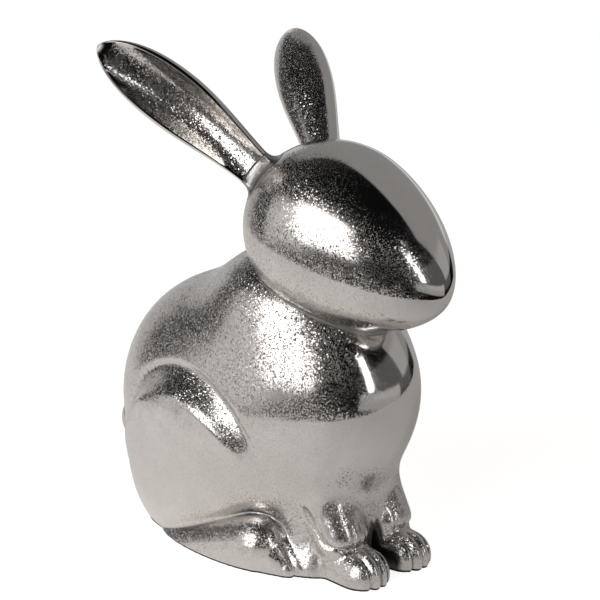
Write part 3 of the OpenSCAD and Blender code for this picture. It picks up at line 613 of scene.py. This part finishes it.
def steelMaterial(name, look):
    # plain steel with noise stretched into streaks along one axis
    material, shader, w = newMaterial(name)
    place = w.make("ShaderNodeTexCoord", out=3)
    drawn = w.make("ShaderNodeMapping", None, {"Vector": place, "Scale": look["drawn"]})
    lines = w.make("ShaderNodeTexNoise", None, {"Vector": drawn, "Scale": look["streaks"], "Detail": 3.0})
    dark = tuple(look["darkest"] * c for c in look["shade"])
    join(lines.tint(dark, look["shade"]), shader.inputs["Base Color"])
    shader.inputs["Metallic"].default_value = 1.0
    join(look["rough"] + lines * look["streakRough"], shader.inputs["Roughness"])
    return material


# Studio: a pale round table, a big soft box on the left, a strip on the right, dark above

studio = {
    "floorRadius": 0.62, "floorBack": 0.38,  # metres, and how far behind the rabbit its middle lies
    "floorDrop": 0.05, "floorThick": 4.0, "floorRows": 24, "floorCols": 128,  # millimetres and counts
    "floorShades": ((0.80, 0.785, 0.77), (0.84, 0.825, 0.81)), "floorMottle": 6.0, "floorRough": 0.9,
    "floorGlow": (0.46, 0.16), "glowSpan": (-0.12, 0.15),  # light at left and right, and metres between
    "floorSeen": 0.88, "glowTint": (1, 0.985, 0.97),  # how bright the camera sees it, and its colour
    "ambient": 0.004, "backdrop": 1.0,  # light from between the panels, and what the camera sees there
    "facing": (0.02, 0.1),  # cosines between which a panel fades out, at right angles to its middle
    "panels": [
        # degrees from the camera's azimuth and above level, half sizes in degrees, soft edge, turn, light
        {"azimuth": -43, "elevation": 22, "wide": 18, "high": 19, "edge": 0.12, "turn": 0, "light": 3.2},
        {"azimuth": -78, "elevation": 12, "wide": 24, "high": 21, "edge": 0.12, "turn": 0, "light": 0.65},
        {"azimuth": -153, "elevation": 2, "wide": 20, "high": 19, "edge": 0.12, "turn": 0, "light": 0.55},
        {"azimuth": 36, "elevation": 17, "wide": 4.2, "high": 16, "edge": 0.03, "turn": -10, "light": 3.0},
        {"azimuth": 39, "elevation": 42, "wide": 2, "high": 1.5, "edge": 0.02, "turn": 0, "light": 1.0},
        {"azimuth": 80, "elevation": 8, "wide": 42, "high": 17, "edge": 0.06, "turn": 0, "light": 0.10},
        {"azimuth": 56, "elevation": -10, "wide": 33, "high": 9, "edge": 0.03, "turn": 0, "light": 0.33},
        {"azimuth": 143, "elevation": 36, "wide": 50, "high": 34, "edge": 0.05, "turn": 0, "light": 0.27},
        {"azimuth": 160, "elevation": -4, "wide": 19, "high": 12, "edge": 0.06, "turn": 0, "light": 0.4},
    ],
}


def panelMask(w, way, panel):
    # a flat panel seen from the middle: across and up over ahead, with soft edges
    azimuth = viewTurn + np.radians(panel["azimuth"])
    rise, turn = np.radians(panel["elevation"]), np.radians(panel["turn"])
    ahead = np.array([np.sin(azimuth) * np.cos(rise), -np.cos(azimuth) * np.cos(rise), np.sin(rise)])
    level = np.array([np.cos(azimuth), np.sin(azimuth), 0])
    steep = np.cross(level, ahead)
    across = level * np.cos(turn) + steep * np.sin(turn)
    up = steep * np.cos(turn) - level * np.sin(turn)
    towards = way.dot(tuple(ahead))
    front = w.math("MAXIMUM", towards, studio["facing"][0])
    mask = towards.between(*studio["facing"])
    for axis, half in ((across, panel["wide"]), (up, panel["high"])):
        limit = np.tan(np.radians(half))
        place = w.math("ABSOLUTE", way.dot(tuple(axis)) / front)
        mask = mask * place.between(limit + panel["edge"], limit - panel["edge"])
    return mask


def buildStudio():
    # light from panels all round, summed; the camera itself sees a plain white backdrop
    world = bpy.data.worlds.new("studio")
    bpy.context.scene.world = world
    world.use_nodes = True
    tree = world.node_tree
    tree.nodes.clear()
    w = Wire(tree)
    way = w.make("ShaderNodeTexCoord", out=0)
    light = studio["ambient"]
    for panel in studio["panels"]:
        light = light + panelMask(w, way, panel) * panel["light"]
    seen = w.make("ShaderNodeLightPath")
    glow = light * (1 - seen) + seen * studio["backdrop"]
    paper = w.make("ShaderNodeBackground", None, {"Color": (1, 1, 1, 1), "Strength": glow})
    output = tree.nodes.new("ShaderNodeOutputWorld")
    tree.links.new(paper.socket, output.inputs[0])
    print("studio:", len(studio["panels"]), "panels")


def floorMaterial():
    # pale mottled paper with painted light: a glow that falls from left to right, as if lit from the left;
    # the camera sees it evenly lit
    material, shader, w = newMaterial("paleFloor")
    place = w.make("ShaderNodeTexCoord", out=3)
    mottle = w.make("ShaderNodeTexNoise", None, {"Vector": place, "Scale": studio["floorMottle"]})
    join(mottle.tint(*studio["floorShades"]), shader.inputs["Base Color"])
    shader.inputs["Roughness"].default_value = studio["floorRough"]
    shader.inputs["Specular IOR Level"].default_value = 0.0
    aside = place.dot((np.cos(viewTurn), np.sin(viewTurn), 0))
    # painted light: the floor glows, more on the left than on the right
    glow = mix(*studio["floorGlow"], aside.between(*studio["glowSpan"]))
    seen = w.make("ShaderNodeLightPath")
    shown = glow * (1 - seen) + seen * studio["floorSeen"]
    join(shown.tint((0, 0, 0), studio["glowTint"]), shader.inputs["Emission Color"])
    shader.inputs["Emission Strength"].default_value = 1.0
    return material


def buildFloor():
    # level rings about a middle behind the rabbit, and the same rings lower down, closed at both middles
    r = np.linspace(0, studio["floorRadius"], studio["floorRows"])[1:, None] / mm
    turn = np.linspace(0, 2 * np.pi, studio["floorCols"], endpoint=False)
    rings = np.stack([r * np.cos(turn), r * np.sin(turn), 0 * r * turn], -1)
    back = studio["floorBack"] / mm
    top = np.array([-back * np.sin(viewTurn), back * np.cos(viewTurn), -studio["floorDrop"]])
    under = top - np.array([0, 0, studio["floorThick"]])
    floor = ringSurface("floor", np.concatenate([rings + top, rings[::-1] + under]), top, under)
    floor.data.materials.append(floorMaterial())
    print("floor:", len(floor.data.polygons), "faces")


def buildCamera():
    # back from the rabbit's middle along the view, with a lens that gives the photograph's scale there
    flat = np.cos(viewRise)
    back = Vector((np.sin(viewTurn) * flat, -np.cos(viewTurn) * flat, np.sin(viewRise)))
    camera = bpy.data.objects.new("camera", bpy.data.cameras.new("camera"))
    camera.location = Vector(view["aim"]) + back * view["distance"]
    camera.rotation_euler = back.to_track_quat("Z", "Y").to_euler()
    camera.data.sensor_width = view["sensor"]
    camera.data.lens = view["sensor"] * view["pixelsPerMetre"] * view["distance"] / view["pixels"]
    camera.data.shift_x = view["shiftPixels"] / view["pixels"]
    bpy.context.scene.collection.objects.link(camera)
    bpy.context.scene.camera = camera
    print("camera:", view["azimuth"], "degrees round,", view["elevation"], "up")


# Pieces

polish = {  # each patch has its middle, its reach and how far it is polished
    "head": [(18, -57, 165, 76, 1.0), (10, -86, 128, 44, 1.0), (10, -20, 182, 30, 1.0)],
    "body": [(4, -62, 92, 54, 0.95), (-8, -60, 70, 34, 0.6), (0, -40, 118, 22, 0.5)],
    "core": 0.35,  # share of its reach within which a patch is full
    "underGrain": 0.4,  # share of the grain on faces that look down
}


def patchAmount(p, patches):
    # strongest of several soft round patches
    amount = np.zeros(p.shape[:-1])
    for x, y, z, reach, most in patches:
        away = np.linalg.norm(p - np.array([x, y, z]), axis=-1)
        amount = np.maximum(amount, most * smoothStep(reach, reach * polish["core"], away))
    return amount


def castGrain(p, patches, upward):
    # full on the upper faces, weaker on those that look down, and none where a patch is polished
    return (1 - patchAmount(p, patches)) * mix(polish["underGrain"], 1, upward)


def finishPiece(piece, node, material):
    # the piece takes the node's place and the slot's finish, and rides on the one body
    piece.data.materials.append(material)
    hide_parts(node)
    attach(piece, "root")


bodyMarks = {
    "corner": 3,  # painted shade in corners: a place is darkened where the skin this far out is near again
    "cleft": (4.5, 1.0), "cleftFront": (-66, -60),  # painted shade between the paws, but not at their tips
    "shade": 0.45, "shadeLow": (-12, -3), "shadeHigh": (3, -1),  # painted shade under the thigh's edge
    "shadeSide": (30, 35), "shadeBack": (42, 30), "shadeFront": (-24, -18),
    "upward": (-0.15, 0.2),  # rise of the way out, from faces that look down to those that don't
}


def bodyPaintedShade(skin, out):
    # painted shade, the strongest of three: in corners, in the gap between the paws and under the thigh's
    # edge
    m, over, y = bodyMarks, overInstep(skin), skin[..., 1]
    corners = np.clip(1 - bodyField(skin + m["corner"] * out) / m["corner"], 0, 1)
    between = smoothStep(*m["cleft"], ellipsoid(skin, *bodyShape["cleft"])) * smoothStep(*m["cleftFront"], y)
    shade = smoothStep(*m["shadeLow"], over) * smoothStep(*m["shadeHigh"], over)
    shade = shade * smoothStep(*m["shadeBack"], y) * smoothStep(*m["shadeFront"], y)
    shade = shade * smoothStep(*m["shadeSide"], skin[..., 0])
    return np.maximum(corners, np.maximum(between, m["shade"] * shade))


def buildBody(material):
    # skin and seat in half rings, mirrored, closed at the floor and under the head
    skin, seat = bodySurface()
    out = slope(bodyField, skin)
    rings = mirroredColumns(np.concatenate([skin, seat]))
    seatMarks = np.ones(seat.shape[:2])
    # painted shade on the skin; the seat under the head is fully darkened
    dark = mirroredColumns(np.concatenate([bodyPaintedShade(skin, out), seatMarks]))
    upward = np.concatenate([smoothStep(*bodyMarks["upward"], out[..., 2]), seatMarks])
    grain = castGrain(rings, polish["body"], mirroredColumns(upward))
    below = (0, bodyShape["axisY"], bodyShape["floor"])
    upright = np.array([[0, 0, 1.0]])
    top = fanStart + headReach(fanStart, upright, bodyShape["seatGap"])[0] * upright[0]
    body = ringSurface("body", rings, below, top, marks={"grain": grain, "paintedShade": dark})
    finishPiece(body, "body_shell", material)
    print("body:", len(body.data.polygons), "faces")


headMarks = {"neck": (2.5, 0.2), "upward": (-0.4, 0.0)}  # painted shade in the neck's crease, near the body; upward as for the body


def buildHead(material):
    # the egg's rings, closed at the back of the head and at the nose
    rings = headSurface()
    # painted shade where the head meets the body
    near = smoothStep(*headMarks["neck"], bodyField(rings))
    upward = smoothStep(*headMarks["upward"], slope(headField, rings)[..., 2])
    grain = castGrain(rings, polish["head"], upward)
    head = ringSurface("head", rings, headCentre - headRear * noseWay, headCentre + headFront * noseWay,
                       marks={"grain": grain, "paintedShade": near})
    finishPiece(head, "head_shell", material)
    print("head:", len(head.data.polygons), "faces")


earMarks = {
    "backGrain": 0.6, "backSpan": (0.9, 0.7), "bowlSpan": (0.8, 0.6),  # grain fades towards the rim
    "tipSpan": (0.96, 0.88),  # and towards the tip
    "root": (2.0, 0.0), "tip": (0.93, 0.985), "tipPaintedDark": 0.8,  # painted shade near the head, and a painted dark reflection at the tip
}


def buildEars(material, bead):
    # sections carried along the ear's path, crowded to the tip, closed at both ends
    s, m = earShape, earMarks
    a = 2 * np.pi * (np.arange(s["cols"]) + 0.5) / s["cols"]
    t = (1 - (1 - np.linspace(0, 1, s["rows"] + 1)[:-1]) ** s["tipCrowd"])[:, None]
    across = np.abs(np.cos(a))
    backGrain = m["backGrain"] * smoothStep(*m["backSpan"], across)
    grain = np.where(np.sin(a) < 0, backGrain, smoothStep(*m["bowlSpan"], across))
    grain = grain * smoothStep(*m["tipSpan"], t)
    for side, name in ((1, "left"), (-1, "right")):
        rings = earPoints(side, t + 0 * a, a + 0 * t)
        root, tip = earPath(side, 0.0)[0], earPath(side, 1.0)[0]
        # painted shade at the root, where the ear meets the head, and a painted dark reflection at the tip
        rootShade = smoothStep(*m["root"], headField(rings))
        paintedShade = np.maximum(rootShade, m["tipPaintedDark"] * smoothStep(*m["tip"], t))
        ear = ringSurface(name + "Ear", sided(rings, side), sided(root, side), sided(tip, side),
                          marks={"grain": grain, "paintedShade": paintedShade})
        finishPiece(ear, name + "_ear", material)
        buildEarWeld(side, name, bead)
    print("ears: two, with their welds")


weldShape = {
    "ear": 5.0, "neck": 2.4, "steps": 10, "cols": 160,  # sizes of the fillets, and counts
    "earSunk": 0.8, "neckSunk": 1.2,  # how far their hidden edge lies behind the corner
    "earSearch": 0.4, "halvings": 18,  # the share of the ear in which its corner is looked for
    "turn": 0.06, "settlings": 8,  # angle over which the ear's section is followed, and steps onto the head
    # painted shade: the welds lie in the creases and are darkened evenly
    "grain": 0.5, "paintedShade": 0.6,
}


def earAt(side, a, high):
    # how far along the ear its skin at the angle a stands the given height above the head
    low, up = np.zeros(a.shape), np.full(a.shape, weldShape["earSearch"])
    for _ in range(weldShape["halvings"]):
        t = (low + up) / 2
        under = headField(earPoints(side, t, a)) < high
        low, up = np.where(under, t, low), np.where(under, up, t)
    return (low + up) / 2


def filletRings(top, corner, base, sunk):
    # hollow fillet: a curve that leaves the upper face, turns at the corner and runs out on the lower face
    s = np.linspace(0, 1, weldShape["steps"])[:, None, None]
    curve = (1 - s) ** 2 * top + 2 * s * (1 - s) * corner + s ** 2 * base
    return np.concatenate([curve, sunk[None]])


def buildEarWeld(side, name, material):
    # a fillet from the ear's skin to the head's, round the corner where the two meet
    s = weldShape
    a = np.linspace(0, 2 * np.pi, s["cols"], endpoint=False)
    t, topT = earAt(side, a, 0.0), earAt(side, a, s["ear"])
    corner, top = earPoints(side, t, a), earPoints(side, topT, a)
    along = earPoints(side, t, a + s["turn"]) - earPoints(side, t, a - s["turn"])
    out = unit(np.cross(along, earPath(side, t)[1]))
    base = corner + s["ear"] * out
    for _ in range(s["settlings"]):
        base = base - headField(base)[..., None] * slope(headField, base)
    sunk = corner - s["earSunk"] * (out + slope(headField, corner))
    rings = filletRings(top, corner, base, sunk)
    weld = ringSurface(name + "EarWeld", sided(rings, side), loop=True,
                       marks=evenMarks(rings, s["grain"], s["paintedShade"]))
    finishPiece(weld, name + "_ear_weld", material)


def buildNeckWeld(material):
    # a fillet in the neck's crease, out to the rays on which head and body are its size apart
    s, angles = weldShape, columnAngles()
    crease = rayWays(angles, neckRise(angles, 0.0))
    corner = fanStart + headReach(fanStart, crease)[:, None] * crease
    way = rayWays(angles, neckRise(angles, s["neck"]))
    top = fanStart + headReach(fanStart, way)[:, None] * way
    base = fanStart + skinReach(fanStart, way)[:, None] * way
    rings = mirroredColumns(filletRings(top, corner, base, corner - s["neckSunk"] * crease))
    weld = ringSurface("neckWeld", rings, loop=True, marks=evenMarks(rings, s["grain"], s["paintedShade"]))
    finishPiece(weld, "neck_weld_ring", material)
    print("neck weld:", len(weld.data.polygons), "faces")


tailShape = {
    "d": 26, "length": 21, "z": 34, "sink": 4, "rows": 72, "cols": 96,
    "grain": 0.9, "dark": (2.5, 0),  # painted shade near the back
}


def buildTail(material):
    # an ellipse turned round the way that the back faces where the tail is let in
    s = tailShape
    start, way = np.array([[0, bodyShape["axisY"], s["z"]]], float), np.array([[0, 1.0, 0]])
    at = (start + skinReach(start, way)[:, None] * way)[0]
    out = slope(bodyField, at)
    centre = at + out * (s["length"] / 2 - s["sink"])
    a = np.linspace(0, np.pi, s["rows"] + 2)[1:-1, None, None]
    turn = np.linspace(0, 2 * np.pi, s["cols"], endpoint=False)[:, None]
    side = np.cos(turn) * np.array([1.0, 0, 0]) + np.sin(turn) * np.cross(out, [1.0, 0, 0])
    rings = centre - s["length"] / 2 * np.cos(a) * out + s["d"] / 2 * np.sin(a) * side
    half = s["length"] / 2 * out
    # painted shade where the tail meets the back
    near = smoothStep(*s["dark"], bodyField(rings))
    tail = ringSurface("tail", rings, centre - half, centre + half,
                       marks={"grain": np.full(rings.shape[:2], s["grain"]), "paintedShade": near})
    finishPiece(tail, "tail", material)
    print("tail:", len(tail.data.polygons), "faces")


feltShape = {
    "inset": 0.4, "thick": 1.0, "round": 0.25,
    "ragged": 0.15, "beats": (1.7, 0.37), "border": 3,  # waves along the edge, and the flat ring inside it
}


def buildFelt(material):
    # the casting's outline at its lower edge, drawn in, with a rounded and slightly ragged edge
    s, angles = feltShape, columnAngles()
    start = np.array([0, bodyShape["axisY"], s["thick"]], float)
    way = rayWays(angles, 0 * angles)
    reach = mirroredColumns(skinReach(start, way)[None])[0]
    way = mirroredColumns(way[None])[0]
    count = np.arange(len(reach))
    quick, slow = (np.sin(count * beat) for beat in s["beats"])
    reach = reach - s["inset"] + s["ragged"] * quick * slow
    high = np.array([0, 0, s["round"], s["thick"] - s["round"], s["thick"], s["thick"]])
    pull = np.array([s["border"], s["round"], 0, 0, s["round"], s["border"]])
    centre = np.array([0, bodyShape["axisY"], 0])
    rings = centre + (reach - pull[:, None])[..., None] * way + high[:, None, None] * np.array([0, 0, 1])
    felt = ringSurface("felt", rings, centre, centre + np.array([0, 0, s["thick"]]))
    finishPiece(felt, "felt_pad", material)
    print("felt:", len(felt.data.polygons), "faces")


def dressNode(node, material):
    # a node whose solid stays gets its material
    slots = frame["nodes"][node].data.materials
    slots.clear()
    slots.append(material)
    print(node, "has its steel")


buildCamera()
buildStudio()
buildFloor()
bpy.context.scene.view_settings.view_transform = "Standard"

plated = platedMaterial("platedCasting", platedLook)
bead = platedMaterial("weldBead", beadLook)
buildBody(plated)
buildHead(plated)
buildEars(plated, bead)
buildNeckWeld(bead)
buildTail(plated)
buildFelt(feltMaterial("blackFelt", feltLook))
dressNode("base_plate", steelMaterial("plateSteel", plateLook))
dressNode("base_screws", steelMaterial("screwSteel", screwLook))
